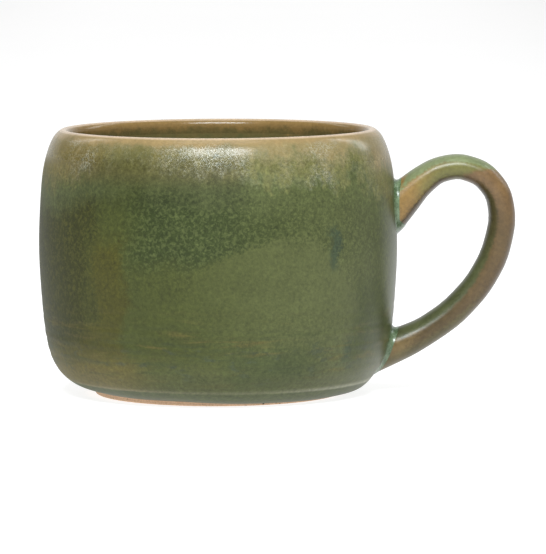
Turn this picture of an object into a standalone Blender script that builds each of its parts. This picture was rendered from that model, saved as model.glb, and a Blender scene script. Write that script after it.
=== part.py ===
"""Low, wide stoneware mug with a pulled loop handle, in metres, +Z up.

The cup is turned about a vertical axis and its handle points along +X. The origin is on the
table, under the middle of the whole mug's bounding box. The mug is built the way a potter
builds it: a clay body with a foot ring under it, a pulled handle luted on with slip at two
joints, and coats of glaze over the clay.
"""

import math

import bmesh
import bpy
from mathutils import Vector

# Cup: widest glazed radius, and how far the handle reaches from the cup's axis
BELLY_RADIUS = 0.0505
HANDLE_REACH = 0.0839
CUP_AXIS_X = (BELLY_RADIUS - HANDLE_REACH) / 2

SHOULDER_HEIGHT = 0.0644
LIP_HEIGHT = 0.0749
COAT_MEETING = (0.0421, 0.0706)  # where the outer coat, wrapped over the lip, meets the liner

# Glazed skin, as (radius, height): from the foot line up the outside, then down to the floor
OUTSIDE = (
    (0.0370, 0.0016),
    (0.0396, 0.0019),
    (0.0434, 0.0045),
    (0.0468, 0.0090),
    (0.0487, 0.0165),
    (BELLY_RADIUS, 0.0412),
    (0.0491, SHOULDER_HEIGHT),
    (0.0474, 0.0704),
    (0.0458, 0.0733),
    (0.0435, LIP_HEIGHT),
    (0.0420, 0.0736),
    COAT_MEETING,
)
INSIDE = (
    COAT_MEETING,
    (0.0440, 0.0640),
    (0.0459, 0.0440),
    (0.0442, 0.0200),
    (0.0410, 0.0125),
    (0.0350, 0.0090),
    (0.0200, 0.0082),
    (0.0000, 0.0080),
)

# Layers and the clearance that keeps touching meshes apart
GLAZE = 0.0005
GAP = 0.0003
SLIP = 0.0012

# Foot ring and the recess that it stands round
FOOT_OUTER_RADIUS = 0.0350
FOOT_INNER_RADIUS = 0.0300
FOOT_HEIGHT = 0.0035
FOOT_CHAMFER = 0.0005

# Handle stations, upper root to lower root: distance from the cup's axis, height, thickness
# in the plane of the loop, and width across it
HANDLE_STATIONS = (
    (0.0480, 0.0500, 0.0112, 0.0142),
    (0.0525, 0.0548, 0.0100, 0.0136),
    (0.0564, 0.0587, 0.0086, 0.0130),
    (0.0618, 0.0624, 0.0074, 0.0124),
    (0.0680, 0.0636, 0.0071, 0.0120),
    (0.0745, 0.0614, 0.0073, 0.0118),
    (0.0788, 0.0562, 0.0074, 0.0117),
    (0.0801, 0.0488, 0.0076, 0.0116),
    (0.0778, 0.0385, 0.0079, 0.0116),
    (0.0730, 0.0299, 0.0079, 0.0117),
    (0.0658, 0.0222, 0.0080, 0.0119),
    (0.0582, 0.0169, 0.0082, 0.0124),
    (0.0529, 0.0142, 0.0090, 0.0130),
    (0.0470, 0.0118, 0.0098, 0.0136),
    (0.0400, 0.0090, 0.0106, 0.0142),
)

# Slip joints: height of the root's middle, half height and half width where it meets the wall
UPPER_JOINT = (0.0529, 0.0090, 0.0086)
LOWER_JOINT = (0.0133, 0.0066, 0.0082)
JOINT_TAPER = 0.86
JOINT_START = 0.0430
JOINT_END = 0.0560

# Facets round the cup and round the handle, and points in each stretch of a smooth curve
CUP_SEGMENTS = 48
HANDLE_SEGMENTS = 16
JOINT_SEGMENTS = 28
CURVE_STEPS = 2
SECTION_POWER = 2.4
SMOOTH_ANGLE = math.radians(40)
MERGE_DISTANCE = 0.00001


def smooth_curve(points, steps=CURVE_STEPS):
    """Points along a centripetal Catmull-Rom curve through the given points."""
    knots = [Vector(point) for point in points]
    knots = [2 * knots[0] - knots[1]] + knots + [2 * knots[-1] - knots[-2]]
    curve = []
    for before, start, end, after in zip(knots, knots[1:], knots[2:], knots[3:]):
        span = math.sqrt((end - start).length)
        start_slope = (start - before) / math.sqrt((start - before).length) / span
        end_slope = (after - end) / math.sqrt((after - end).length) / span
        middle_slope = (end - start) / span ** 2
        leave = (start_slope + middle_slope) / (1 + math.sqrt((start - before).length) / span)
        arrive = (end_slope + middle_slope) / (1 + math.sqrt((after - end).length) / span)
        for step in range(steps):
            t = step / steps
            curve.append(
                start
                + (end - start) * t * t * (3 - 2 * t)
                + leave * span ** 2 * t * (1 - t) ** 2
                - arrive * span ** 2 * t * t * (1 - t)
            )
    curve.append(knots[-2])
    return curve


def offset_outline(outline, distance):
    """Moves each point of a (radius, height) outline into the wall by distance."""
    moved = []
    for index, point in enumerate(outline):
        before = outline[max(index - 1, 0)]
        after = outline[min(index + 1, len(outline) - 1)]
        along = (after - before).normalized()
        moved.append(point + Vector((-along.y, along.x)) * distance)
    if outline[-1].x == 0:
        moved[-1].x = 0
    return moved


def plain_material(name, colour, roughness):
    """Principled material of one colour for fired clay or glaze."""
    material = bpy.data.materials.new(name)
    material.use_nodes = True
    shader = material.node_tree.nodes["Principled BSDF"]
    shader.inputs["Base Color"].default_value = (*colour, 1)
    shader.inputs["Roughness"].default_value = roughness
    shader.inputs["Metallic"].default_value = 0
    material.diffuse_color = (*colour, 1)
    return material


def finish(name, mesh_data, material):
    """Writes a bmesh to a named, smooth-shaded object that stands on the cup's axis."""
    bmesh.ops.remove_doubles(mesh_data, verts=mesh_data.verts, dist=MERGE_DISTANCE)
    bmesh.ops.recalc_face_normals(mesh_data, faces=mesh_data.faces)
    mesh = bpy.data.meshes.new(name)
    mesh_data.to_mesh(mesh)
    mesh_data.free()
    mesh.materials.append(material)
    mesh.shade_smooth()
    mesh.set_sharp_from_angle(angle=SMOOTH_ANGLE)
    piece = bpy.data.objects.new(name, mesh)
    bpy.context.collection.objects.link(piece)
    piece.parent = cup_axis
    return piece


def turned(name, outline, material):
    """Solid of revolution from a (radius, height) outline, closed or ending on the axis."""
    mesh_data = bmesh.new()
    verts = [mesh_data.verts.new((point[0], 0, point[1])) for point in outline]
    edges = [mesh_data.edges.new(pair) for pair in zip(verts, verts[1:])]
    if outline[0][0] > 0 or outline[-1][0] > 0:
        edges.append(mesh_data.edges.new((verts[-1], verts[0])))
    bmesh.ops.spin(
        mesh_data,
        geom=verts + edges,
        cent=(0, 0, 0),
        axis=(0, 0, 1),
        angle=math.tau,
        steps=CUP_SEGMENTS,
        use_merge=True,
    )
    return finish(name, mesh_data, material)


def lofted(name, rings, material, endless=False):
    """Solid through a row of rings, every face flat; its ends are filled, or joined if endless."""
    mesh_data = bmesh.new()
    loops = [[mesh_data.verts.new(point) for point in ring] for ring in rings]
    if endless:
        loops.append(loops[0])
    else:
        mesh_data.faces.new(loops[0])
        mesh_data.faces.new(loops[-1])
    for loop, following in zip(loops, loops[1:]):
        for index in range(len(loop)):
            corners = (loop[index - 1], loop[index], following[index], following[index - 1])
            mesh_data.faces.new(corners)
    bmesh.ops.triangulate(mesh_data, faces=mesh_data.faces)
    return finish(name, mesh_data, material)


def cutter(piece):
    """Marks a shape that only cuts others."""
    piece.hide_render = True
    piece.display_type = "WIRE"
    return piece


def cut(piece, tool, operation="DIFFERENCE"):
    """Adds a Boolean modifier with the exact solver."""
    modifier = piece.modifiers.new("cut", "BOOLEAN")
    modifier.solver = "EXACT"
    modifier.operation = operation
    modifier.object = tool


def handle_rings(inset):
    """Cross-sections of the handle, drawn in from its glazed surface by inset."""
    stations = smooth_curve(HANDLE_STATIONS)
    rings = []
    for index, (reach, height, thickness, width) in enumerate(stations):
        before = stations[max(index - 1, 0)]
        after = stations[min(index + 1, len(stations) - 1)]
        along = Vector((after[0] - before[0], 0, after[1] - before[1])).normalized()
        outward = Vector((-along.z, 0, along.x))
        ring = []
        for segment in range(HANDLE_SEGMENTS):
            angle = math.tau * segment / HANDLE_SEGMENTS
            across = math.copysign(abs(math.cos(angle)) ** (2 / SECTION_POWER), math.cos(angle))
            up = math.copysign(abs(math.sin(angle)) ** (2 / SECTION_POWER), math.sin(angle))
            offset = outward * up * (thickness / 2 - inset)
            offset.y = across * (width / 2 - inset)
            ring.append(Vector((reach, 0, height)) + offset)
        rings.append(ring)
    return rings


def joint_plug(name, root, grow, material):
    """Tapered oval plug along +X that runs through the wall at one root of the handle."""
    height, half_height, half_width = root
    rings = []
    for reach, taper in ((JOINT_START, 1), (JOINT_END, JOINT_TAPER)):
        ring = []
        for segment in range(JOINT_SEGMENTS):
            angle = math.tau * segment / JOINT_SEGMENTS
            across = math.cos(angle) * (half_width * taper + grow)
            up = math.sin(angle) * (half_height * taper + grow)
            ring.append((reach, across, height + up))
        rings.append(ring)
    return lofted(name, rings, material)


def foot_outline():
    """Foot ring section: square, with its four edges eased."""
    corners = (
        (FOOT_INNER_RADIUS, 0, 1, 1),
        (FOOT_OUTER_RADIUS, 0, -1, 1),
        (FOOT_OUTER_RADIUS, FOOT_HEIGHT, -1, -1),
        (FOOT_INNER_RADIUS, FOOT_HEIGHT, 1, -1),
    )
    outline = []
    for index, (radius, height, inward, upward) in enumerate(corners):
        pair = [
            (radius + inward * FOOT_CHAMFER, height),
            (radius, height + upward * FOOT_CHAMFER),
        ]
        outline += pair if index % 2 else pair[::-1]
    return outline


for existing in list(bpy.data.objects):
    bpy.data.objects.remove(existing)

cup_axis = bpy.data.objects.new("cup_axis", None)
bpy.context.collection.objects.link(cup_axis)
cup_axis.location = (CUP_AXIS_X, 0, 0)

stoneware = plain_material("bare_stoneware", (0.40, 0.25, 0.15), 0.85)
slip = plain_material("joint_slip", (0.09, 0.16, 0.085), 0.40)
green_glaze = plain_material("green_reactive_glaze", (0.09, 0.11, 0.036), 0.42)
liner_glaze = plain_material("olive_liner_glaze", (0.13, 0.115, 0.045), 0.38)
base_glaze = plain_material("tan_base_glaze", (0.33, 0.22, 0.12), 0.50)

outside = smooth_curve(OUTSIDE)
inside = smooth_curve(INSIDE)
skin = outside + inside[1:]
under_glaze = offset_outline(skin, GLAZE)
clay_surface = offset_outline(skin, GLAZE + GAP)

# Clay body, with a step under it that holds the foot ring
step_radius = FOOT_OUTER_RADIUS + GAP
step_height = FOOT_HEIGHT + GAP
underside = [
    Vector((0, step_height)),
    Vector((step_radius, step_height)),
    Vector((step_radius, clay_surface[0].y)),
]
turned("body", underside + clay_surface, stoneware)
turned("foot_ring", foot_outline(), stoneware)

# Glaze coats: outside and over the lip, inside, and the recess inside the foot ring
outer_coat = turned("outer_glaze", outside + under_glaze[:len(outside)][::-1], green_glaze)
meeting = len(outside) - 1
clearance = (skin[meeting + 1] - skin[meeting]).normalized() * GAP
liner_skin = [skin[meeting] + clearance] + skin[meeting + 1:]
liner_back = [under_glaze[meeting] + clearance] + under_glaze[meeting + 1:]
turned("liner_glaze", liner_skin[::-1] + liner_back, liner_glaze)
recess_radius = FOOT_INNER_RADIUS - GAP
base_outline = (
    (0, FOOT_HEIGHT - GLAZE),
    (recess_radius, FOOT_HEIGHT - GLAZE),
    (recess_radius, FOOT_HEIGHT),
    (0, FOOT_HEIGHT),
)
turned("base_glaze", base_outline, base_glaze)

# Wall shapes that trim the joints and the handle to the clay's curve
slip_foot = [point for point in offset_outline(outside, GLAZE) if point.y < SHOULDER_HEIGHT]
slip_top = offset_outline(slip_foot, -SLIP)
handle_foot = offset_outline(slip_top, -GAP)
handle_foot_ends = (Vector((0, handle_foot[0].y)), Vector((0, handle_foot[-1].y)))
slip_layer = cutter(turned("slip_layer", slip_foot + slip_top[::-1], slip))
handle_trim_outline = [handle_foot_ends[0]] + handle_foot + [handle_foot_ends[1]]
handle_trim = cutter(turned("handle_trim", handle_trim_outline, slip))

# Slip joints, each in a hole through the outer coat
for name, root in (("upper_joint", UPPER_JOINT), ("lower_joint", LOWER_JOINT)):
    joint = joint_plug(name, root, 0, slip)
    cut(joint, slip_layer, "INTERSECT")
    hole = cutter(joint_plug(name + "_hole", root, GAP, slip))
    cut(outer_coat, hole)

# Handle: a clay core inside its sleeve of glaze
handle = lofted("handle", handle_rings(GLAZE + GAP), stoneware)
cut(handle, handle_trim)
sleeve_rings = handle_rings(0) + handle_rings(GLAZE)[::-1]
handle_coat = lofted("handle_glaze", sleeve_rings, green_glaze, endless=True)
cut(handle_coat, handle_trim)
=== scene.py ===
"""Looks of the stoneware mug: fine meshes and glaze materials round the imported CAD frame.

Lengths are in millimetres until a mesh is written, and the cup's axis is the z axis of the
shape code. The row frame is in metres, with the cup's axis a little way along -X.
"""

import math

import bmesh
import bpy
import numpy as np
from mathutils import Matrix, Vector


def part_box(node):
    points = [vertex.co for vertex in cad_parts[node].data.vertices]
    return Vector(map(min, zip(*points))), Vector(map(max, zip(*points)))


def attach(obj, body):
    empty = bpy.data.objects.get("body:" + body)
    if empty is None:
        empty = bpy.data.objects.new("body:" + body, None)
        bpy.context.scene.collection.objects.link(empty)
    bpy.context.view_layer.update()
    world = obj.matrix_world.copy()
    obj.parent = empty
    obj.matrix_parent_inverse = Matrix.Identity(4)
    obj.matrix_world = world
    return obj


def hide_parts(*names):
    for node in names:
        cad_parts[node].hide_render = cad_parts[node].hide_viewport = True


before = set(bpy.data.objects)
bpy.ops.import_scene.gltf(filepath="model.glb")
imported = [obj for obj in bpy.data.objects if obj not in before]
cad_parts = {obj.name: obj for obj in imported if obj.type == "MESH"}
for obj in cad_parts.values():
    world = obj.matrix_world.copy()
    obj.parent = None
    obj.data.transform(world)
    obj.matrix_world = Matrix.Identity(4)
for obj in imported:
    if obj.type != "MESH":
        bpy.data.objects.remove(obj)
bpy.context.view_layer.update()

MM = 0.001
TAU = math.tau

# --- Sizes, read from the frame where it has them ---
coat_low, coat_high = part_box("outer_glaze")
AXIS_X = (coat_low.x + coat_high.x) / 2 / MM
BELLY = (coat_high.x - coat_low.x) / 2 / MM
LIP_HEIGHT = coat_high.z / MM
FOOT_LINE = coat_low.z / MM
GLAZE = 0.5
FOOT_OUTER = (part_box("foot_ring")[1].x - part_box("foot_ring")[0].x) / 2 / MM
FOOT_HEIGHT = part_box("foot_ring")[1].z / MM
FOOT_WIDTH = 5.0
FOOT_EDGE = 0.5
RECESS = (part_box("base_glaze")[1].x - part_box("base_glaze")[0].x) / 2 / MM
BASE_RIM = 1.2

# Glazed skin as (radius, height), the same driving points as the CAD outline
OUTSIDE = (
    (37.0, FOOT_LINE),
    (39.6, 1.9),
    (43.4, 4.5),
    (46.8, 9.0),
    (48.7, 16.5),
    (BELLY, 41.2),
    (49.1, 64.4),
    (47.4, 70.4),
    (45.8, 73.3),
    (43.5, LIP_HEIGHT),
    (42.0, 73.6),
    (42.1, 70.6),
)
INSIDE = (
    (42.1, 70.6),
    (44.0, 64.0),
    (45.9, 44.0),
    (44.2, 20.0),
    (41.0, 12.5),
    (35.0, 9.0),
    (20.0, 8.2),
    (0.0, 8.0),
)

# Handle from the upper root to the lower one: reach from the axis, height, thickness, width
HANDLE = (
    (48.0, 50.0, 11.2, 14.2),
    (52.5, 54.8, 10.0, 13.6),
    (56.4, 58.7, 8.6, 13.0),
    (61.8, 62.4, 7.4, 12.4),
    (68.0, 63.6, 7.1, 12.0),
    (74.5, 61.4, 7.3, 11.8),
    (78.8, 56.2, 7.4, 11.7),
    (80.1, 48.8, 7.6, 11.6),
    (77.8, 38.5, 7.9, 11.6),
    (73.0, 29.9, 7.9, 11.7),
    (65.8, 22.2, 8.0, 11.9),
    (58.2, 16.9, 8.2, 12.4),
    (52.9, 14.2, 9.0, 13.0),
    (47.0, 11.8, 9.8, 13.6),
    (40.0, 9.0, 10.6, 14.2),
)
# Power of the handle's section: 2 is an oval, and more is squarer
HANDLE_POWER = 2.3

# Collar of pooled glaze at a root: its reach along the wall and the handle, how far its hollow
# and its edge on the handle stand out, how far its edge on the wall is sunk, and its thickness
COLLAR_REACH = 2.0
COLLAR_SWELL = 0.12
COLLAR_EDGE = 0.10
COLLAR_SINK = 0.03
COLLAR_THICKNESS = 0.35

# Fineness of the meshes
SEGMENTS = 320
AROUND_HANDLE = 64
ALONG_HANDLE = 260
SHARP_ANGLE = math.radians(50)


# --- Shape tools ---
def smooth_path(points, spacing):
    """Evenly spaced points along a centripetal Catmull-Rom curve through the given points."""
    knots = np.array(points, float)
    knots = np.vstack([2 * knots[0] - knots[1], knots, 2 * knots[-1] - knots[-2]])
    dense = []
    t = np.linspace(0, 1, 40, endpoint=False)[:, None]
    for before, start, end, after in zip(knots, knots[1:], knots[2:], knots[3:]):
        first = math.sqrt(np.linalg.norm(start - before))
        span = math.sqrt(np.linalg.norm(end - start))
        last = math.sqrt(np.linalg.norm(after - end))
        middle = (end - start) / span
        leave = middle + span * ((start - before) / first - (end - before) / (first + span))
        arrive = middle + span * ((after - end) / last - (after - start) / (span + last))
        dense.append(
            start
            + (end - start) * t * t * (3 - 2 * t)
            + leave * t * (1 - t) ** 2
            - arrive * t * t * (1 - t)
        )
    dense = np.vstack(dense + [knots[-2:-1]])
    steps = np.linalg.norm(np.diff(dense[:, :2], axis=0), axis=1)
    along = np.concatenate([[0], np.cumsum(steps)])
    count = max(2, round(along[-1] / spacing) + 1)
    even = np.linspace(0, along[-1], count)
    return np.column_stack([np.interp(even, along, column) for column in dense.T])


def smooth_step(value, low, high):
    """0 below low, 1 above high, with an S-shaped rise between them."""
    t = np.clip((value - low) / (high - low), 0, 1)
    return t * t * (3 - 2 * t)


def ease_wall(path):
    """Evens out the curvature of a section's long wall, and leaves the lip and the ends alone."""
    hold = smooth_step(path[:, 1], 60, 73)[:, None]
    for _ in range(60):
        eased = path.copy()
        eased[1:-1] = (path[:-2] + 2 * path[1:-1] + path[2:]) / 4
        path = path + (eased - path) * (1 - 0.95 * hold)
    return path


def offset_path(path, distance):
    """Moves each (radius, height) point of a path into the wall by distance."""
    along = np.gradient(path, axis=0)
    along /= np.linalg.norm(along, axis=1)[:, None]
    moved = path + np.column_stack([-along[:, 1], along[:, 0]]) * distance
    moved[path[:, 0] == 0, 0] = 0
    return moved


def grid_faces(rows, columns, rows_closed):
    """Quads of a grid whose columns close on themselves, and whose rows may."""
    row = np.arange(rows if rows_closed else rows - 1)[:, None]
    column = np.arange(columns)[None, :]
    next_row = (row + 1) % rows
    next_column = (column + 1) % columns
    corners = (
        row * columns + column,
        row * columns + next_column,
        next_row * columns + next_column,
        next_row * columns + column,
    )
    return np.stack(corners, axis=-1).reshape(-1, 4)


def make_piece(name, points, faces, replaced, material):
    """Writes a mesh given in millimetres round the cup's axis, and places it in the frame."""
    mesh = bpy.data.meshes.new(name)
    world = (np.asarray(points, float) + (AXIS_X, 0, 0)) * MM
    mesh.from_pydata(world.tolist(), [], [list(map(int, face)) for face in faces])
    shape = bmesh.new()
    shape.from_mesh(mesh)
    on_axis = [v for v in shape.verts if abs(v.co.x - AXIS_X * MM) + abs(v.co.y) < 1e-7]
    bmesh.ops.remove_doubles(shape, verts=on_axis, dist=1e-7)
    bmesh.ops.recalc_face_normals(shape, faces=shape.faces)
    shape.to_mesh(mesh)
    shape.free()
    mesh.shade_smooth()
    mesh.set_sharp_from_angle(angle=SHARP_ANGLE)
    mesh.materials.append(material)
    piece = bpy.data.objects.new(name, mesh)
    bpy.context.scene.collection.objects.link(piece)
    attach(piece, "root")
    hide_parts(*replaced)
    return piece


def turned_points(section, segments, relief):
    """Points of a (radius, height) section turned about the cup's axis, with relief added."""
    angle = np.arange(segments) * TAU / segments
    radius = np.repeat(section[:, 0][:, None], segments, axis=1)
    height = np.repeat(section[:, 1][:, None], segments, axis=1)
    angle = np.repeat(angle[None, :], len(section), axis=0)
    out, up = relief(angle, radius, height)
    keep = radius > 0
    radius = radius + out * keep
    height = height + up * keep
    return np.stack([radius * np.cos(angle), radius * np.sin(angle), height], axis=-1)


# --- Cup ---
outside = ease_wall(smooth_path(OUTSIDE, 0.5))
inside = ease_wall(smooth_path(INSIDE, 0.7))


def thrown(angle, radius, height):
    """The soft wobble and shallow throwing rings that a potter's hands leave in the wall."""
    wall = smooth_step(height, 3, 14) * smooth_step(-height, -72, -60)
    wobble = 0.09 * np.cos(2 * angle + 0.8) + 0.05 * np.cos(3 * angle + 2.1)
    turns = height / 3.7 + angle / TAU
    lower = smooth_step(-height, -34, -14)
    rings = np.sin(TAU * turns) + 0.6 * np.sin(TAU * turns * 1.73 + 1.3)
    return wall * (wobble + 0.045 * lower * rings), np.zeros_like(height)


def uneven_foot_line(angle, radius, height):
    """Lets the glaze run lower on the handle side and round the front."""
    near_line = smooth_step(-height, -7, -1.6)
    run = 0.40 + 0.72 * np.cos(angle + 0.1)
    run += 0.08 * np.cos(5 * angle) + 0.05 * np.cos(9 * angle + 1)
    return np.zeros_like(height), -near_line * run


def coat_relief(angle, radius, height):
    """The wall's wobble and rings together with the uneven foot line."""
    out, _ = thrown(angle, radius, height)
    _, up = uneven_foot_line(angle, radius, height)
    return out, up


def coat_piece(name, skin, relief, replaced, material):
    """A closed coat of glaze: a fine skin outside and a plain back against the clay."""
    back = offset_path(skin, GLAZE)[::-1]
    back = np.vstack([back[:1], back[1:-1:4], back[-1:]])
    section = np.vstack([skin, back])
    points = turned_points(section, SEGMENTS, relief)
    rows = len(section)
    on_axis = skin[-1, 0] == 0
    faces = grid_faces(rows, SEGMENTS, rows_closed=True)
    if on_axis:
        # The skin and its back each end in a point on the axis, with no faces between them
        middle = len(skin) - 1
        faces = faces[(faces // SEGMENTS).min(axis=1) != middle]
    return make_piece(name, points.reshape(-1, 3), faces, replaced, material)


# --- Handle ---
def handle_curves(inset):
    """Lines along the handle, drawn in from its skin, one for each angle around its section."""
    stations = smooth_path(HANDLE, 0.5)
    middle = np.column_stack([stations[:, 0], np.zeros(len(stations)), stations[:, 1]])
    along = np.gradient(middle, axis=0)
    along /= np.linalg.norm(along, axis=1)[:, None]
    outward = np.column_stack([-along[:, 2], np.zeros(len(stations)), along[:, 0]])
    angle = np.arange(AROUND_HANDLE) * TAU / AROUND_HANDLE
    power = 2 / HANDLE_POWER
    across = np.sign(np.cos(angle)) * np.abs(np.cos(angle)) ** power
    up = np.sign(np.sin(angle)) * np.abs(np.sin(angle)) ** power
    half_thickness = stations[:, 2] / 2 - inset
    half_width = stations[:, 3] / 2 - inset
    side = np.array([0.0, 1.0, 0.0])
    return (
        middle[:, None, :]
        + outward[:, None, :] * (half_thickness[:, None] * up[None, :])[..., None]
        + side * (half_width[:, None] * across[None, :])[..., None]
    )


def wall_radius(height):
    """Radius of the glazed wall at a height."""
    wall = outside[: int(np.argmax(outside[:, 1]))]
    return np.interp(height, wall[:, 1], wall[:, 0])


def outside_wall(points):
    """How far points stand out from the glazed wall."""
    return np.hypot(points[..., 0], points[..., 1]) - wall_radius(points[..., 2])


def root_crossings(lines):
    """Row positions, with fractions, where each line of the handle leaves and meets the wall."""
    clear = outside_wall(lines)
    rows = np.arange(len(lines))
    leaves, meets = [], []
    for column in range(lines.shape[1]):
        out = clear[:, column]
        first = int(np.argmax(out > 0))
        last = len(out) - 1 - int(np.argmax(out[::-1] > 0))
        leaves.append(first - out[first] / (out[first] - out[first - 1]))
        meets.append(last + out[last] / (out[last] - out[last + 1]))
    return np.array(leaves), np.array(meets)


def points_on_lines(lines, rows):
    """Points of the handle's lines at fractional rows, one row position for each line."""
    low = np.clip(np.floor(rows).astype(int), 0, len(lines) - 2)
    part = (rows - low)[:, None]
    column = np.arange(lines.shape[1])
    return lines[low, column] * (1 - part) + lines[low + 1, column] * part


def between_roots(lines):
    """Rings along the handle from wall to wall, and the share of the way for each ring."""
    leaves, meets = root_crossings(lines)
    shares = np.linspace(0, 1, ALONG_HANDLE)
    rings = [points_on_lines(lines, leaves + (meets - leaves) * share) for share in shares]
    return np.array(rings), shares


def handle_piece(material):
    """The handle's coat: a sleeve of glaze round the clay, ending on the wall at both roots."""
    skin, shares = between_roots(handle_curves(0))
    back, _ = between_roots(handle_curves(GLAZE))
    rings = np.concatenate([skin, back[::-1]])
    faces = grid_faces(len(rings), AROUND_HANDLE, rows_closed=True)
    points = rings.reshape(-1, 3)
    coat = make_piece("handle_coat", points, faces, ["handle_glaze"], material)
    turn = np.arange(AROUND_HANDLE) * TAU / AROUND_HANDLE
    along = np.repeat(np.concatenate([shares, shares[::-1]]), AROUND_HANDLE)
    outward = np.tile(np.sin(turn), len(rings))
    write_attribute(coat, "along", along)
    write_attribute(coat, "outward", outward)
    return coat


def write_attribute(piece, name, values):
    """Stores one number for each point, which the material reads."""
    layer = piece.data.attributes.new(name, "FLOAT", "POINT")
    layer.data.foreach_set("value", np.asarray(values, np.float32))


def joint_fillet(name, replaced, lines, rows, onward, material):
    """A collar of slip and pooled glaze, hollow-curved between the wall and the handle.

    onward is 1 where the handle leaves the wall along its rows, and -1 where it meets it.
    """
    root = points_on_lines(lines, rows)
    ahead = points_on_lines(lines, rows + onward) - root
    row_length = np.linalg.norm(ahead, axis=1)
    along_handle = ahead / row_length[:, None]
    wall_out = root * (1, 1, 0)
    wall_out /= np.linalg.norm(wall_out, axis=1)[:, None]
    slope = (wall_radius(root[:, 2] + 0.5) - wall_radius(root[:, 2] - 0.5))[:, None]
    wall_out = wall_out - slope * np.array([0.0, 0.0, 1.0])
    wall_out /= np.linalg.norm(wall_out, axis=1)[:, None]
    around_root = np.roll(root, -1, axis=0) - np.roll(root, 1, axis=0)
    away = np.cross(wall_out, around_root)
    away /= np.linalg.norm(away, axis=1)[:, None]
    centre = root.mean(axis=0)
    away *= np.sign(((root - centre) * away).sum(axis=1))[:, None]

    # It reaches further where the handle leans over the wall and the corner is narrow
    closing = (along_handle * away).sum(axis=1)
    size = COLLAR_REACH * (1 + 0.45 * np.clip(closing, -0.6, 0.9))[:, None]
    on_wall = root + away * size
    on_wall = drop_to_wall(on_wall, -COLLAR_SINK)
    on_handle = points_on_lines(lines, rows + onward * size[:, 0] / row_length)
    handle_out = np.cross(along_handle, around_root)
    handle_out /= np.linalg.norm(handle_out, axis=1)[:, None]
    handle_out *= np.sign((handle_out * (root - centre)).sum(axis=1))[:, None]

    edge = on_handle + handle_out * COLLAR_EDGE
    corner = root + COLLAR_SWELL * (handle_out + wall_out)
    bend = np.linspace(0, 1, 15)[:, None, None]
    curve = on_wall * (1 - bend) ** 2 + 2 * corner * bend * (1 - bend) + edge * bend ** 2
    under = np.stack([
        on_handle - handle_out * COLLAR_THICKNESS,
        root - (handle_out + wall_out) * COLLAR_THICKNESS,
        on_wall - wall_out * COLLAR_THICKNESS,
    ])
    rings = np.concatenate([curve, under])
    faces = grid_faces(len(rings), len(root), rows_closed=True)
    return make_piece(name, rings.reshape(-1, 3), faces, replaced, material)


def drop_to_wall(points, proud):
    """Moves points in or out until they stand proud of the glazed wall, or sunk if negative."""
    radius = np.hypot(points[:, 0], points[:, 1])
    wanted = wall_radius(points[:, 2]) + proud
    moved = points.copy()
    moved[:, :2] *= (wanted / radius)[:, None]
    return moved


# --- Foot ---
def rounded_ring(inner, outer, low, high, radius):
    """Closed section of a ring with its four edges rounded."""
    turn = np.linspace(0, math.pi / 2, 6)
    corners = (
        (outer - radius, low + radius, -math.pi / 2),
        (outer - radius, high - radius, 0),
        (inner + radius, high - radius, math.pi / 2),
        (inner + radius, low + radius, math.pi),
    )
    section = []
    for across, up, start in corners:
        for angle in start + turn:
            section.append((across + radius * math.cos(angle), up + radius * math.sin(angle)))
    return np.array(section)


def turned_clay(angle, radius, height):
    """The slight waver of a foot turned by hand, none of it below the table."""
    out = 0.05 * np.cos(2 * angle + 1.0) + 0.03 * np.cos(5 * angle)
    return out, np.zeros_like(height)


def foot_piece(material):
    inner = FOOT_OUTER - FOOT_WIDTH
    section = rounded_ring(inner, FOOT_OUTER, 0, FOOT_HEIGHT, FOOT_EDGE)
    points = turned_points(section, SEGMENTS, turned_clay)
    faces = grid_faces(len(section), SEGMENTS, rows_closed=True)
    return make_piece(
        "bare_foot", points.reshape(-1, 3), faces, ["foot_ring"], material
    )


def base_piece(material):
    """The glazed recess inside the foot: a disc that thins and rounds off at its rim."""
    rim = np.linspace(0, math.pi / 2, 8)
    low = FOOT_HEIGHT - GLAZE
    rounded = np.column_stack([
        RECESS - BASE_RIM * (1 - np.sin(rim)),
        low + GLAZE * (1 - np.cos(rim)),
    ])
    middle = np.linspace(0, RECESS - BASE_RIM, 30, endpoint=False)
    flat = np.column_stack([middle, np.full(len(middle), low)])
    section = np.vstack([flat, rounded, [(0, FOOT_HEIGHT)]])
    points = turned_points(section, SEGMENTS, base_ripple)
    faces = grid_faces(len(section), SEGMENTS, rows_closed=False)
    return make_piece(
        "base_coat", points.reshape(-1, 3), faces, ["base_glaze"], material
    )


def base_ripple(angle, radius, height):
    """Faint turning rings under the foot, fading at the middle and the rim."""
    inside_rim = smooth_step(radius, 1, 5) * smooth_step(-radius, -RECESS + 1, -RECESS + 4)
    return np.zeros_like(radius), 0.05 * inside_rim * np.sin(TAU * radius / 3.1)


def clay_piece(material):
    """The clay wall and floor between the coats, with the step that holds the foot."""
    gap = 0.06
    skin = np.vstack([outside, inside[1:]])
    clay = offset_path(skin, GLAZE + gap)
    clay = np.vstack([clay[:-1:2], clay[-1:]])
    step = FOOT_OUTER + gap
    underside = np.array([(0, FOOT_HEIGHT + gap), (step, FOOT_HEIGHT + gap), (step, clay[0, 1])])
    section = np.vstack([underside, clay])
    points = turned_points(section, SEGMENTS, thrown)
    faces = grid_faces(len(section), SEGMENTS, rows_closed=False)
    return make_piece(
        "clay_cup", points.reshape(-1, 3), faces, ["body"], material
    )


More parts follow.
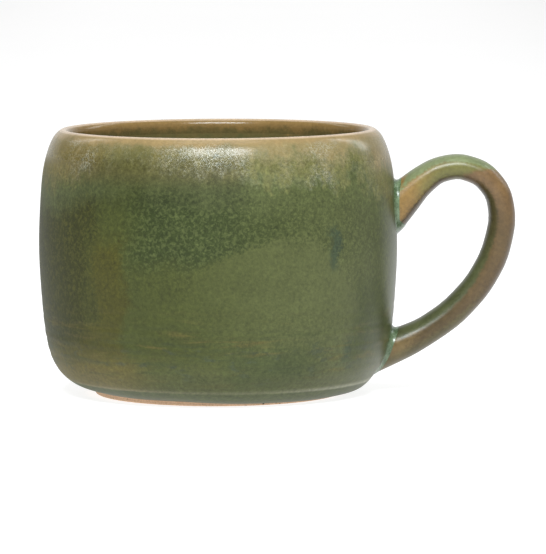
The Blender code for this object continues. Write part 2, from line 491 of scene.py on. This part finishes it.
# --- Shading tools ---
class Shading:
    """Short calls that build one material's node graph, in millimetres from the cup's axis."""

    def __init__(self, name):
        self.material = bpy.data.materials.new(name)
        self.material.use_nodes = True
        self.nodes = self.material.node_tree.nodes
        self.links = self.material.node_tree.links
        self.shader = self.nodes["Principled BSDF"]
        here = self.nodes.new("ShaderNodeTexCoord").outputs["Object"]
        centred = self.vector("SUBTRACT", here, (AXIS_X * MM, 0, 0))
        self.position = self.vector("MULTIPLY", centred, (1 / MM, 1 / MM, 1 / MM))
        split = self.nodes.new("ShaderNodeSeparateXYZ")
        self.plug(split.inputs[0], self.position)
        self.x, self.y, self.z = split.outputs

    def plug(self, socket, value):
        """Links a socket or sets its value."""
        if isinstance(value, bpy.types.NodeSocket):
            self.links.new(value, socket)
        else:
            socket.default_value = value

    def set(self, name, value):
        """Feeds one input of the Principled shader."""
        self.plug(self.shader.inputs[name], value)

    def vector(self, operation, first, second):
        node = self.nodes.new("ShaderNodeVectorMath")
        node.operation = operation
        self.plug(node.inputs[0], first)
        self.plug(node.inputs[1], second)
        return node.outputs[0]

    def math(self, operation, first, second=0.0, clamp=False):
        node = self.nodes.new("ShaderNodeMath")
        node.operation = operation
        node.use_clamp = clamp
        self.plug(node.inputs[0], first)
        self.plug(node.inputs[1], second)
        return node.outputs[0]

    def add(self, *terms):
        total = terms[0]
        for term in terms[1:]:
            total = self.math("ADD", total, term)
        return total

    def times(self, *factors):
        product = factors[0]
        for factor in factors[1:]:
            product = self.math("MULTIPLY", product, factor)
        return product

    def flip(self, value):
        """One minus a value."""
        return self.math("SUBTRACT", 1.0, value)

    def step(self, value, low, high, below=0.0, above=1.0):
        """An S-shaped change from below to above as the value goes from low to high."""
        node = self.nodes.new("ShaderNodeMapRange")
        node.interpolation_type = "SMOOTHSTEP"
        self.plug(node.inputs["Value"], value)
        turned_round = high < low
        self.plug(node.inputs["From Min"], min(low, high))
        self.plug(node.inputs["From Max"], max(low, high))
        self.plug(node.inputs["To Min"], above if turned_round else below)
        self.plug(node.inputs["To Max"], below if turned_round else above)
        return node.outputs["Result"]

    def mix(self, factor, under, over):
        """Colour that goes from under to over."""
        node = self.nodes.new("ShaderNodeMix")
        node.data_type = "RGBA"
        self.plug(node.inputs["Factor"], factor)
        self.plug(node.inputs[6], under)
        self.plug(node.inputs[7], over)
        return node.outputs[2]

    def noise(self, size, detail=3.0, roughness=0.5, stretch=(1, 1, 1), warp=0.0, shift=0.0):
        """Cloudy noise from 0 to 1, with features about size across, drawn out by stretch."""
        node = self.nodes.new("ShaderNodeTexNoise")
        scale = tuple(1 / factor for factor in stretch)
        place = self.vector("MULTIPLY", self.position, scale)
        if shift:
            place = self.vector("ADD", place, (shift, 2 * shift, 3 * shift))
        self.plug(node.inputs["Vector"], place)
        self.plug(node.inputs["Scale"], 1 / size)
        self.plug(node.inputs["Detail"], detail)
        self.plug(node.inputs["Roughness"], roughness)
        self.plug(node.inputs["Distortion"], warp)
        return node.outputs["Fac"]

    def sway(self, amount, *args, **kwargs):
        """Noise centred on zero, amount from one side to the other."""
        centred = self.math("SUBTRACT", self.noise(*args, **kwargs), 0.5)
        return self.math("MULTIPLY", centred, amount)

    def threads(self, size, width, **kwargs):
        """Fine crooked lines, like crystals grown in a glaze: 1 on a line, 0 off it."""
        field = self.noise(size, **kwargs)
        off = self.math("ABSOLUTE", self.math("SUBTRACT", field, 0.5))
        return self.step(off, width, 0.0)

    def scale(self, colour, value):
        """A colour made lighter or darker."""
        return self.vector("MULTIPLY", colour, self.grey(value))

    def grey(self, value):
        """The same number in all three channels."""
        node = self.nodes.new("ShaderNodeCombineXYZ")
        for socket in node.inputs:
            self.plug(socket, value)
        return node.outputs[0]

    def bump(self, height, distance, under=None):
        """Surface normal raised by a height from 0 to 1, distance in millimetres."""
        node = self.nodes.new("ShaderNodeBump")
        node.inputs["Strength"].default_value = 1.0
        node.inputs["Distance"].default_value = distance * MM
        self.plug(node.inputs["Height"], height)
        if under is not None:
            self.plug(node.inputs["Normal"], under)
        return node.outputs["Normal"]

    def bell(self, value, centre, reach):
        """1 at the centre, falling to 0 at a distance of reach on both sides."""
        away = self.math("ABSOLUTE", self.math("SUBTRACT", value, centre))
        return self.step(away, reach, 0.0)

    def between(self, value, low, high, edge):
        """1 from low to high, with soft edges."""
        half = edge / 2
        rise = self.step(value, low - half, low + half)
        fall = self.step(value, high + half, high - half)
        return self.times(rise, fall)

    def attribute(self, name):
        """A number stored on the mesh."""
        node = self.nodes.new("ShaderNodeAttribute")
        node.attribute_name = name
        return node.outputs["Fac"]


# --- Linear base colours of the glazes and the clay ---
# Outer glaze, up the cup from the foot
# The pale grey and near-white foot colours are painted reflection of the white floor; the cream one is
# thinned glaze
FOOT_PALE_REFLECTION = (0.290, 0.290, 0.180, 1)
FOOT_CREAM = (0.500, 0.430, 0.280, 1)
FOOT_WHITE_REFLECTION = (0.600, 0.580, 0.440, 1)
LOW_GREY = (0.094, 0.104, 0.037, 1)
LOW_TAN = (0.142, 0.116, 0.028, 1)
LOW_SHADE = (0.052, 0.070, 0.022, 1)
SMUDGE = (0.058, 0.075, 0.048, 1)
RING_OCHRE = (0.145, 0.118, 0.030, 1)
RING_DARK = (0.055, 0.070, 0.024, 1)
LEFT_OLIVE = (0.064, 0.076, 0.014, 1)
RIGHT_OLIVE = (0.107, 0.122, 0.041, 1)
DARK_GREEN = (0.038, 0.054, 0.010, 1)
GREEN_FLECK = (0.073, 0.091, 0.026, 1)
SHADE_GREEN = (0.042, 0.046, 0.004, 1)
SHADE_FLECK = (0.064, 0.064, 0.009, 1)
BROWN_OCHRE = (0.076, 0.067, 0.004, 1)
STREAK_GREEN = (0.052, 0.068, 0.012, 1)
TEAL = (0.040, 0.066, 0.037, 1)
FOREST = (0.098, 0.116, 0.037, 1)
MOSS = (0.132, 0.146, 0.056, 1)
YELLOW_OLIVE = (0.168, 0.164, 0.056, 1)
FRINGE = (0.190, 0.185, 0.062, 1)
LEFT_AMBER = (0.195, 0.145, 0.036, 1)
RUST = (0.155, 0.112, 0.038, 1)
OCHRE = (0.232, 0.205, 0.092, 1)
TAN = (0.285, 0.222, 0.098, 1)
BLUE_GREY = (0.120, 0.140, 0.105, 1)
CRYSTAL = (0.560, 0.540, 0.410, 1)
RIM_TAN = (0.365, 0.252, 0.112, 1)
# Painted highlight on the lip's top edge
LIP_CREAM_HIGHLIGHT = (0.620, 0.460, 0.310, 1)

# Inside the cup, up to the lip
INSIDE_GREEN = (0.085, 0.100, 0.038, 1)
INSIDE_FLECK = (0.130, 0.145, 0.055, 1)
INSIDE_OLIVE = (0.105, 0.110, 0.042, 1)
INSIDE_BROWN = (0.165, 0.125, 0.046, 1)
INSIDE_GOLD = (0.285, 0.175, 0.060, 1)

# Handle, from the upper root to the lower one
ROOT_AMBER = (0.270, 0.160, 0.045, 1)
BURNT = (0.120, 0.085, 0.045, 1)
CROWN_GREEN = (0.185, 0.215, 0.100, 1)
CROWN_OLIVE = (0.165, 0.155, 0.042, 1)
BEND_TAN = (0.178, 0.104, 0.042, 1)
SIDE_BROWN = (0.116, 0.073, 0.028, 1)
INNER_BROWN = (0.072, 0.058, 0.022, 1)
INNER_GREEN = (0.080, 0.088, 0.036, 1)
EDGE_OLIVE = (0.120, 0.105, 0.040, 1)
LOW_BROWN = (0.088, 0.058, 0.020, 1)
LOWER_ROOT_TAN = (0.175, 0.118, 0.042, 1)

# Pooled glaze at the roots, bare clay, and the glaze under the foot
POOL_DARK = (0.062, 0.095, 0.045, 1)
POOL_PALE = (0.115, 0.160, 0.088, 1)
CLAY = (0.700, 0.500, 0.340, 1)
CLAY_GRIT = (0.600, 0.410, 0.265, 1)
IRON_SPECK = (0.080, 0.045, 0.030, 1)
BASE_TAN = (0.330, 0.220, 0.110, 1)
BASE_OLIVE = (0.170, 0.170, 0.070, 1)

# Specular level of the satin glazes
SATIN_LEVEL = 0.25

# Arched top of the smooth sage field: the place of its crown, and its fall to either side
DOME_ACROSS = 24
DOME_TOP = 48.0
DOME_LEFT_FALL = 0.011
DOME_RIGHT_FALL = 0.09


def below_dome(glaze):
    """How far a point is below the arched top of the smooth sage field, towards the handle."""
    aside = glaze.math("SUBTRACT", glaze.across, DOME_ACROSS)
    left = glaze.math("MINIMUM", aside, 0)
    right = glaze.math("MAXIMUM", aside, 0)
    left_drop = glaze.times(left, left, DOME_LEFT_FALL)
    right_drop = glaze.times(right, right, DOME_RIGHT_FALL)
    arch = glaze.math("SUBTRACT", DOME_TOP, glaze.add(left_drop, right_drop))
    return glaze.math("SUBTRACT", arch, glaze.z)


def middle_greens(glaze):
    """Olive field, lighter towards the handle, with a dark mottled band above the sage field."""
    side = glaze.step(glaze.warped_across, -16, 34)
    colour = glaze.mix(side, LEFT_OLIVE, RIGHT_OLIVE)
    inside_dome = glaze.add(below_dome(glaze), glaze.times(glaze.cloud, 7))
    inside_dome = glaze.add(inside_dome, glaze.times(glaze.grain, 7))
    dome = glaze.step(inside_dome, -1.5, 2.5)
    band = glaze.times(
        glaze.flip(dome),
        glaze.step(glaze.warped_up, 37, 44),
        glaze.step(glaze.warped_up, 66, 57),
        glaze.step(glaze.warped_across, -29, -17),
        glaze.step(glaze.warped_across, -6, 38, 1.0, 0.30),
    )
    dark = glaze.mix(glaze.fleck, DARK_GREEN, GREEN_FLECK)
    smooth = glaze.times(dome, glaze.step(glaze.across, -14, 6), glaze.step(glaze.z, 22, 32))
    low = glaze.step(glaze.z, 26, 38, 0.55, 1.0)
    glaze.fleck_share = glaze.times(glaze.step(smooth, 0, 1, 0.34, 0.07), low)
    return glaze.mix(band, colour, dark)


def left_runs(glaze, colour):
    """The shaded column on the far left and the brown run beside it, which widens to the foot."""
    shaded = glaze.mix(glaze.fleck, SHADE_GREEN, SHADE_FLECK)
    column = glaze.times(glaze.step(glaze.warped_across, -31, -37), glaze.step(glaze.warped_up, 8, 18))
    colour = glaze.mix(column, colour, shaded)
    spread = glaze.step(glaze.z, 24, 12, 0.0, 4.0)
    off_middle = glaze.math("ABSOLUTE", glaze.add(glaze.warped_across, 29.4, spread))
    strip = glaze.step(glaze.math("SUBTRACT", off_middle, spread), 6.2, 2.2)
    strip = glaze.times(strip, glaze.step(glaze.warped_up, 51, 43))
    return glaze.mix(glaze.times(strip, 0.68), colour, BROWN_OCHRE)


def right_runs(glaze, colour):
    """Thin vertical runs near the handle: two teal drips and a darker streak."""
    drip = glaze.bell(glaze.warped_across, 32.6, 2.8)
    drip = glaze.times(drip, glaze.between(glaze.warped_up, 39, 50, 4))
    colour = glaze.mix(glaze.times(drip, 0.75), colour, TEAL)
    low_drip = glaze.bell(glaze.warped_across, 36.8, 2.5)
    low_drip = glaze.times(low_drip, glaze.between(glaze.warped_up, 12, 19, 5))
    colour = glaze.mix(glaze.times(low_drip, 0.7), colour, TEAL)
    streak = glaze.times(
        glaze.between(glaze.warped_across, 38, 46.5, 5),
        glaze.step(glaze.warped_up, 10, 15),
        glaze.step(glaze.warped_up, 44, 26),
    )
    return glaze.mix(glaze.times(streak, 0.8), colour, STREAK_GREEN)


def lower_body(glaze, colour):
    """Greyer glaze near the foot, tan on the left, with faint rings left by throwing, and a pale foot
    line: cream where the glaze thinned on the left, grey in the middle and near white towards the
    handle, which is painted reflection of the white floor.
    """
    colour = glaze.mix(glaze.step(glaze.warped_up, 17, 8, 0.0, 0.75), colour, LOW_GREY)
    left = glaze.times(glaze.step(glaze.warped_across, -12, -32), glaze.step(glaze.warped_up, 19, 9))
    colour = glaze.mix(glaze.times(left, 0.9), colour, LOW_TAN)
    ring = glaze.noise(2.2, detail=3, roughness=0.6, stretch=(8, 8, 1), warp=0.3, shift=2)
    ochre_ring = glaze.times(glaze.step(ring, 0.52, 0.72), glaze.between(glaze.z, 9, 25, 10), 0.72)
    colour = glaze.mix(ochre_ring, colour, RING_OCHRE)
    dark_ring = glaze.times(glaze.step(ring, 0.48, 0.30), glaze.between(glaze.z, 7, 22, 10), 0.60)
    colour = glaze.mix(dark_ring, colour, RING_DARK)
    shade = glaze.between(glaze.warped_across, 3, 27, 10)
    shade = glaze.times(shade, glaze.between(glaze.warped_up, 7, 17, 5))
    colour = glaze.mix(glaze.times(shade, 0.55), colour, LOW_SHADE)
    smudge = glaze.step(glaze.noise(2.2, detail=3, stretch=(2.2, 2.2, 1), shift=3), 0.56, 0.68)
    smudge = glaze.times(smudge, glaze.between(glaze.warped_up, 9, 17, 4), 0.5)
    colour = glaze.mix(smudge, colour, SMUDGE)
    # Foot line: cream thinned glaze on the left; the grey, then near white, towards the handle is
    # painted reflection of the floor
    thin = glaze.mix(glaze.step(glaze.across, 5, -30), FOOT_PALE_REFLECTION, FOOT_CREAM)
    thin = glaze.mix(glaze.step(glaze.across, 12, 36), thin, FOOT_WHITE_REFLECTION)
    return glaze.mix(glaze.step(glaze.z, 5.6, 2.8), colour, thin)


def shoulder(glaze, colour):
    """Green thins to moss, ochre and tan on the way up to the lip."""
    slump = glaze.times(glaze.step(glaze.across, 22, -10), glaze.step(glaze.across, -46, -30), -4.4)
    slump = glaze.add(slump, glaze.times(glaze.bell(glaze.across, -23, 9), -3.0))
    slump = glaze.times(slump, glaze.step(glaze.z, 75, 70))
    lift = glaze.times(glaze.bell(glaze.across, 30, 8), 1.2)
    lift = glaze.add(lift, glaze.step(glaze.across, 40, 46, 0, 5))
    sag = glaze.times(glaze.bell(glaze.across, 38, 4), -2.5)
    ragged = glaze.add(glaze.times(glaze.cloud, 8), glaze.times(glaze.run, 8))
    ragged = glaze.add(ragged, glaze.times(glaze.grain, 5))
    up = glaze.add(glaze.z, slump, lift, sag, ragged)
    colour = glaze.mix(glaze.step(up, 50, 59), colour, FOREST)
    colour = glaze.mix(glaze.step(up, 60, 63), colour, MOSS)
    colour = glaze.mix(glaze.step(up, 62, 66), colour, YELLOW_OLIVE)
    colour = glaze.mix(glaze.step(up, 65.5, 69.5), colour, OCHRE)
    colour = glaze.mix(glaze.step(up, 69, 72), colour, TAN)
    blob = glaze.step(glaze.noise(2.6, detail=2, stretch=(1, 1, 1.3), shift=21), 0.46, 0.60)
    blob = glaze.times(blob, glaze.between(up, 60, 66, 3), glaze.step(glaze.across, -26, 4, 0.25, 0.6))
    colour = glaze.mix(blob, colour, FRINGE)
    left = glaze.times(glaze.step(glaze.warped_across, -28, -36), glaze.step(up, 57, 66), 0.70)
    colour = glaze.mix(left, colour, LEFT_AMBER)
    left_front = glaze.between(glaze.warped_across, -40, 7, 12)
    rusty = glaze.times(left_front, glaze.step(glaze.z, 60, 66), 0.40)
    colour = glaze.mix(rusty, colour, RUST)
    thicker = glaze.times(left_front, glaze.between(glaze.z, 56, 69, 5), 0.22)
    colour = glaze.scale(colour, glaze.flip(thicker))
    glaze.frost_height = up
    return colour


def frost(glaze, colour):
    """Pale crystals and blue-grey pits, thickest on the upper front."""
    up = glaze.frost_height
    zone = glaze.times(glaze.step(up, 59.5, 64.5), glaze.step(glaze.z, 74.2, 72.6))
    patchy = glaze.step(glaze.noise(5.5, detail=3, stretch=(1, 1, 1.5), shift=11), 0.40, 0.60)
    thick = glaze.add(
        glaze.bell(glaze.warped_across, -3, 16),
        glaze.times(glaze.bell(glaze.warped_across, -36, 5), 0.8),
        glaze.bell(glaze.warped_across, 29, 6),
        0.25,
    )
    patches = glaze.add(glaze.times(patchy, 0.65), 0.35)
    amount = glaze.times(zone, glaze.math("MINIMUM", thick, 1.0), patches)
    pits = glaze.step(glaze.noise(1.15, detail=3, roughness=0.6, shift=9), 0.48, 0.66)
    colour = glaze.mix(glaze.times(amount, pits, glaze.step(up, 71, 66), 0.75), colour, BLUE_GREY)
    crystals = glaze.threads(0.62, 0.070, detail=2, roughness=0.5, warp=0.8, shift=5)
    glaze.crystals = glaze.times(crystals, amount)
    return glaze.mix(glaze.times(glaze.crystals, 0.56), colour, CRYSTAL)


def inner_wall(glaze):
    """Inside of the cup: golden under the lip, then brown, then olive."""
    up = glaze.add(glaze.z, glaze.times(glaze.run, 4), glaze.times(glaze.cloud, 3))
    up = glaze.add(up, glaze.times(glaze.grain, 1.5))
    colour = glaze.mix(glaze.step(up, 40, 67), INSIDE_GREEN, INSIDE_OLIVE)
    colour = glaze.mix(glaze.step(up, 67, 71.5), colour, INSIDE_BROWN)
    colour = glaze.mix(glaze.step(up, 71, 73.2), colour, INSIDE_GOLD)
    return colour


def lip(glaze, colour):
    """Bare-looking tan lip where the glaze ran thin, with a cream line at its very edge that is a
    painted highlight.
    """
    height = glaze.add(glaze.z, glaze.times(glaze.cloud, 3), glaze.times(glaze.run, 2))
    colour = glaze.mix(glaze.step(height, 72.2, 74.0, 0.0, 0.8), colour, RIM_TAN)
    squares = glaze.add(glaze.times(glaze.x, glaze.x), glaze.times(glaze.y, glaze.y))
    radius = glaze.math("SQRT", squares)
    inner_side = glaze.step(radius, 43.5, 42.8)
    colour = glaze.mix(inner_side, colour, inner_wall(glaze))
    # The cream along the very top of the lip is a painted highlight of the overhead light
    return glaze.mix(glaze.step(glaze.z, 74.1, 74.6), colour, LIP_CREAM_HIGHLIGHT)


def green_reactive_glaze():
    """Mottled green over ochre: olive and sage fields, brown runs, and a crystalline shoulder."""
    glaze = Shading("green_reactive_glaze")
    # The back carries the front's pattern, mirrored and moved along
    behind = glaze.step(glaze.y, 0, 46)
    glaze.across = glaze.add(glaze.x, glaze.times(behind, 31))
    glaze.grain = glaze.sway(1, 0.8, detail=3, roughness=0.65)
    glaze.cloud = glaze.sway(1, 8, detail=3)
    glaze.run = glaze.sway(1, 2.6, detail=3, stretch=(1, 1, 2.6))
    glaze.fleck = glaze.step(glaze.noise(0.95, detail=3, roughness=0.62, warp=0.7), 0.42, 0.66)
    waver = glaze.add(glaze.times(glaze.cloud, 9), glaze.times(glaze.grain, 6))
    glaze.warped_across = glaze.add(glaze.across, waver)
    glaze.warped_up = glaze.add(glaze.z, waver)

    colour = middle_greens(glaze)
    colour = left_runs(glaze, colour)
    colour = right_runs(glaze, colour)
    colour = lower_body(glaze, colour)
    colour = shoulder(glaze, colour)
    colour = frost(glaze, colour)
    colour = lip(glaze, colour)
    mottle = glaze.sway(0.80, 1.3, detail=4, roughness=0.7, shift=17)
    flecks = glaze.times(glaze.math("SUBTRACT", glaze.fleck, 0.42), glaze.fleck_share)
    texture = glaze.add(mottle, flecks, glaze.times(glaze.grain, 0.8))
    texture = glaze.times(texture, glaze.step(glaze.z, 66, 73, 1.0, 0.35))
    strength = glaze.step(glaze.z, 6, 20, 0.76, 0.625)
    value = glaze.times(strength, glaze.add(1.0, texture, glaze.times(glaze.cloud, 0.3)))
    glaze.set("Base Color", glaze.scale(colour, value))

    satin = glaze.step(glaze.across, -28, -40, 0.43, 0.58)
    satin = glaze.step(glaze.x, 38, 44, satin, 0.37)
    rough = glaze.step(glaze.z, 64, 69, satin, 0.22)
    rough = glaze.add(rough, glaze.times(glaze.grain, 0.12))
    glaze.set("Roughness", rough)
    glaze.set("Specular IOR Level", SATIN_LEVEL)
    pitted = glaze.bump(glaze.noise(0.8, detail=3, roughness=0.6), 0.03)
    glaze.set("Normal", glaze.bump(glaze.crystals, 0.02, under=pitted))
    return glaze.material


def handle_glaze():
    """Glaze that broke brown on the handle's sides and stayed green on its crown and inner face."""
    glaze = Shading("handle_glaze")
    along = glaze.attribute("along")
    outward = glaze.attribute("outward")
    grain = glaze.sway(1, 0.9, detail=2.5, roughness=0.6)
    cloud = glaze.sway(1, 6, detail=3)
    way = glaze.add(along, glaze.times(cloud, 0.08), glaze.times(grain, 0.03))
    face = glaze.add(outward, glaze.times(cloud, 0.5), glaze.times(grain, 0.35))

    side = glaze.mix(glaze.step(way, 0.05, 0.19), ROOT_AMBER, CROWN_OLIVE)
    side = glaze.mix(glaze.step(way, 0.255, 0.285), side, BEND_TAN)
    side = glaze.mix(glaze.step(way, 0.33, 0.50), side, SIDE_BROWN)
    side = glaze.mix(glaze.step(way, 0.66, 0.80), side, LOW_BROWN)
    side = glaze.mix(glaze.step(way, 0.88, 0.97), side, LOWER_ROOT_TAN)
    edge = glaze.times(glaze.step(face, 0.10, 0.55), glaze.step(way, 0.60, 0.74))
    colour = glaze.mix(glaze.times(edge, 0.7), side, EDGE_OLIVE)
    green_top = glaze.times(glaze.step(face, 0.38, 0.62), glaze.between(way, 0.03, 0.27, 0.03))
    colour = glaze.mix(green_top, colour, CROWN_GREEN)
    inner = glaze.times(glaze.step(face, -0.22, -0.50), glaze.step(way, 0.28, 0.42))
    under = glaze.mix(glaze.step(way, 0.45, 0.68), INNER_BROWN, INNER_GREEN)
    colour = glaze.mix(inner, colour, under)
    burnt = glaze.times(glaze.step(face, -0.45, -0.70), glaze.step(way, 0.34, 0.16))
    colour = glaze.mix(burnt, colour, BURNT)
    value = glaze.add(0.70, glaze.times(cloud, 0.45), glaze.times(grain, 0.62))
    glaze.set("Base Color", glaze.scale(colour, value))
    glaze.set("Roughness", glaze.add(0.36, glaze.times(grain, 0.2)))
    glaze.set("Specular IOR Level", 0.4)
    glaze.set("Normal", glaze.bump(glaze.noise(0.8, detail=3, roughness=0.6), 0.03))
    return glaze.material


def liner_glaze():
    """Olive glaze inside, browner and thinner towards the lip."""
    glaze = Shading("olive_liner_glaze")
    grain = glaze.sway(1, 0.9, detail=2.5, roughness=0.6)
    cloud = glaze.sway(1, 8, detail=3)
    run = glaze.sway(1, 2.4, detail=3, stretch=(1, 1, 5))
    glaze.grain, glaze.cloud, glaze.run = grain, cloud, run
    fleck = glaze.step(glaze.noise(1.3, detail=3, roughness=0.6), 0.48, 0.64)
    fleck = glaze.times(fleck, glaze.step(glaze.z, 68, 60), 0.35)
    colour = glaze.mix(fleck, inner_wall(glaze), INSIDE_FLECK)
    value = glaze.add(1.0, glaze.times(cloud, 0.4), glaze.times(grain, 0.4))
    glaze.set("Base Color", glaze.scale(colour, value))
    glaze.set("Roughness", glaze.add(0.36, glaze.times(grain, 0.2)))
    glaze.set("Specular IOR Level", SATIN_LEVEL)
    glaze.set("Normal", glaze.bump(glaze.noise(0.9, detail=3), 0.03))
    return glaze.material


def pooled_glaze():
    """Thick glossy glaze caught in the corners round the handle's roots, gone teal."""
    glaze = Shading("pooled_glaze")
    grain = glaze.sway(1, 0.8, detail=2.5, roughness=0.6)
    cloud = glaze.noise(2.5, detail=3)
    colour = glaze.mix(glaze.step(cloud, 0.38, 0.62), POOL_DARK, POOL_PALE)
    value = glaze.add(1.0, glaze.times(grain, 0.6))
    glaze.set("Base Color", glaze.scale(colour, value))
    glaze.set("Roughness", glaze.add(0.27, glaze.times(grain, 0.15)))
    glaze.set("Specular IOR Level", 0.5)
    glaze.set("Normal", glaze.bump(glaze.noise(1.1, detail=3), 0.03))
    return glaze.material


def bare_clay():
    """Unglazed stoneware: warm, matt and gritty, with dark iron specks."""
    clay = Shading("bare_stoneware")
    grit = clay.noise(0.5, detail=3, roughness=0.7)
    cloud = clay.sway(1, 9, detail=3)
    colour = clay.mix(clay.step(grit, 0.40, 0.60), CLAY, CLAY_GRIT)
    specks = clay.step(clay.noise(0.9, detail=1, shift=4), 0.70, 0.76)
    colour = clay.mix(specks, colour, IRON_SPECK)
    clay.set("Base Color", clay.scale(colour, clay.add(1.0, clay.times(cloud, 0.4))))
    clay.set("Roughness", clay.add(0.80, clay.times(grit, 0.15)))
    clay.set("Specular IOR Level", 0.3)
    clay.set("Normal", clay.bump(grit, 0.06))
    return clay.material


def base_glaze():
    """Thin tan glaze wiped over the recess under the foot."""
    glaze = Shading("tan_base_glaze")
    grain = glaze.sway(1, 0.9, detail=2.5, roughness=0.6)
    cloud = glaze.noise(7, detail=4)
    colour = glaze.mix(glaze.step(cloud, 0.40, 0.62), BASE_TAN, BASE_OLIVE)
    value = glaze.add(1.0, glaze.times(grain, 0.6))
    glaze.set("Base Color", glaze.scale(colour, value))
    glaze.set("Roughness", glaze.add(0.48, glaze.times(grain, 0.2)))
    glaze.set("Specular IOR Level", SATIN_LEVEL)
    glaze.set("Normal", glaze.bump(glaze.noise(0.9, detail=3), 0.04))
    return glaze.material


# --- Camera, floor and light, in metres and radians ---
FOCAL_LENGTH = 299.9
CAMERA_PLACE = (-0.00085, -1.3, 0.15784)
CAMERA_TILT = 0.0961
CAMERA_ROLL = 0.0032
LAMP_COLOUR = (0.92, 0.97, 1.0)
FLOOR_HALF = 14.0

# Lamps: degrees round from the front towards the handle, degrees up, distance, width, height, watts
SOFTBOXES = (
    ("key_softbox", 0, 47, 1.1, 0.66, 0.27, 22.0),
    ("top_softbox", 0, 88, 1.1, 0.6, 0.40, 2.2),
    ("side_softbox", 58, 24, 1.4, 1.1, 1.1, 0.6),
    ("right_rim_strip", 124, 32, 1.3, 0.12, 0.7, 2.6),
    ("left_rim_strip", -128, 36, 1.3, 0.16, 0.6, 1.4),
)


def aim(thing, place, target):
    """Puts a lamp at a place, looking at a target."""
    thing.location = place
    thing.rotation_euler = (Vector(target) - Vector(place)).to_track_quat("-Z", "Y").to_euler()


def make_camera():
    """A long lens, a little above the rim and square to the handle."""
    lens = bpy.data.cameras.new("studio_camera")
    lens.lens = FOCAL_LENGTH
    lens.sensor_width = 36
    lens.clip_end = 100
    camera = bpy.data.objects.new("studio_camera", lens)
    camera.location = CAMERA_PLACE
    camera.rotation_euler = (math.pi / 2 - CAMERA_TILT, CAMERA_ROLL, 0)
    bpy.context.scene.collection.objects.link(camera)
    bpy.context.scene.camera = camera


def softbox(name, azimuth, elevation, distance, width, height, power):
    """Area lamp aimed at the middle of the cup."""
    lamp = bpy.data.lights.new(name, "AREA")
    lamp.shape = "RECTANGLE"
    lamp.size = width
    lamp.size_y = height
    lamp.energy = power
    lamp.color = LAMP_COLOUR
    thing = bpy.data.objects.new(name, lamp)
    bpy.context.scene.collection.objects.link(thing)
    turn = math.radians(azimuth)
    rise = math.radians(elevation)
    level = math.cos(rise)
    away = Vector((math.sin(turn) * level, -math.cos(turn) * level, math.sin(rise)))
    target = Vector((AXIS_X * MM, 0, LIP_HEIGHT * MM / 2))
    aim(thing, target + away * distance, target)


def make_world():
    """White studio: bright behind the cup and along the horizon, a little light overhead."""
    world = bpy.data.worlds.new("studio")
    bpy.context.scene.world = world
    world.use_nodes = True
    nodes = world.node_tree.nodes
    links = world.node_tree.links
    way = nodes.new("ShaderNodeTexCoord").outputs["Generated"]
    split = nodes.new("ShaderNodeSeparateXYZ")
    links.new(way, split.inputs[0])

    def ramp(value, low, high, below, above):
        node = nodes.new("ShaderNodeMapRange")
        node.interpolation_type = "SMOOTHSTEP"
        links.new(value, node.inputs["Value"])
        node.inputs["From Min"].default_value = low
        node.inputs["From Max"].default_value = high
        node.inputs["To Min"].default_value = below
        node.inputs["To Max"].default_value = above
        return node.outputs["Result"]

    def combine(operation, first, second):
        node = nodes.new("ShaderNodeMath")
        node.operation = operation
        links.new(first, node.inputs[0])
        links.new(second, node.inputs[1])
        return node.outputs[0]

    level = ramp(split.outputs[1], 0.6, 0.98, 0.07, 0.90)
    overhead = ramp(split.outputs[2], 0.2, 0.9, 0.0, 0.20)
    off_level = nodes.new("ShaderNodeMath")
    off_level.operation = "ABSOLUTE"
    links.new(split.outputs[2], off_level.inputs[0])
    horizon = ramp(off_level.outputs[0], 0.09, 0.17, 0.85, 0.0)
    level = combine("MAXIMUM", level, horizon)
    links.new(combine("ADD", level, overhead), nodes["Background"].inputs["Strength"])
    nodes["Background"].inputs["Color"].default_value = (1.0, 0.995, 0.985, 1)


def floor_material():
    """Matt white sweep that glows, brightest round the cup: painted light that lights the cup from
    below and fills its shadow.
    """
    paper = Shading("studio_floor")
    shade = paper.sway(0.05, 180, detail=4)
    aside = paper.math("ABSOLUTE", paper.x)
    tone = paper.add(paper.step(aside, 110, 600, 0.36, 0.40), shade)
    paper.set("Base Color", paper.grey(tone))
    paper.set("Roughness", 0.9)
    paper.set("Specular IOR Level", 0.1)
    # The floor's glow is painted light: strongest round the cup, it lights the foot and underside and
    # fills their shade
    paper.set("Emission Color", (1, 1, 1, 1))
    paper.set("Emission Strength", paper.step(aside, 110, 600, 0.86, 0.60))
    return paper.material


def make_floor():
    mesh = bpy.data.meshes.new("studio_floor")
    sides = ((-1, -1), (1, -1), (1, 1), (-1, 1))
    corners = [(FLOOR_HALF * x, FLOOR_HALF * y, 0) for x, y in sides]
    mesh.from_pydata(corners, [], [(0, 1, 2, 3)])
    mesh.materials.append(floor_material())
    floor = bpy.data.objects.new("studio_floor", mesh)
    bpy.context.scene.collection.objects.link(floor)


green = green_reactive_glaze()
handle_green = handle_glaze()
olive = liner_glaze()
pooled = pooled_glaze()
clay = bare_clay()

coat_piece("outer_coat", outside, coat_relief, ["outer_glaze"], green)
coat_piece("liner_coat", inside, thrown, ["liner_glaze"], olive)
lines = handle_curves(0)
leaves, meets = root_crossings(lines)
handle_piece(handle_green)
joint_fillet("upper_fillet", ["upper_joint"], lines, leaves, 1, pooled)
joint_fillet("lower_fillet", ["lower_joint"], lines, meets, -1, pooled)
foot_piece(clay)
base_piece(base_glaze())
clay_piece(clay)
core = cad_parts["handle"]
core.data.materials.clear()
core.data.materials.append(clay)

make_floor()
make_world()
for lamp in SOFTBOXES:
    softbox(*lamp)
make_camera()
bpy.context.scene.view_settings.view_transform = "Standard"
